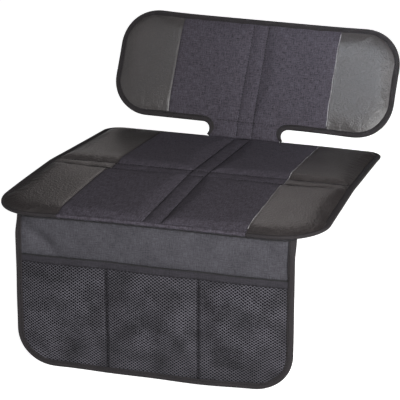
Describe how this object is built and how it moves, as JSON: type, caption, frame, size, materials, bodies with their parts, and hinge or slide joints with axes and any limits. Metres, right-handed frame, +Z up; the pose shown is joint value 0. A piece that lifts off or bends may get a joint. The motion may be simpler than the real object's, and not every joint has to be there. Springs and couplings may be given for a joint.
{
  "type": "car seat protector mat",
  "caption": "Padded car seat protector: a quilted seat section, a leaning back section on a short neck, and a hanging front flap with net pockets.",
  "frame": {"origin": "on the underside of the seat's front section, at its middle", "axes": "+Z up, +X across the seat to the right seen from the front, +Y from the front edge towards the seat back"},
  "size_m": [0.46, 0.5751, 0.3729],
  "materials": {
    "woven_fabric": "black polyester weave, matte",
    "imitation_leather": "charcoal imitation leather with a fine grain and a soft sheen",
    "flap_fabric": "dark grey polyester weave, matte",
    "edging_tape": "black ribbed edging tape, matte",
    "pocket_net": "dark knitted net with diamond cells",
    "foam": "light grey soft foam",
    "non_slip_underlay": "black non-slip coated cloth, matte"
  },
  "bodies": {
    "root": {"seat_underlay": "non_slip_underlay", "seat_foam_front_left": "foam", "seat_foam_front_right": "foam", "seat_foam_rear_left": "foam", "seat_foam_rear_right": "foam", "seat_cover_centre": "woven_fabric", "seat_cover_left": "imitation_leather", "seat_cover_right": "imitation_leather", "seat_binding": "edging_tape", "back_rear_cover": "non_slip_underlay", "back_foam_left": "foam", "back_foam_right": "foam", "back_cover_centre": "woven_fabric", "back_cover_left": "imitation_leather", "back_cover_right": "imitation_leather", "back_binding": "edging_tape", "flap_panel": "flap_fabric", "pocket_net": "pocket_net", "pocket_hem": "flap_fabric", "flap_binding": "edging_tape"}
  },
  "joints": []
}
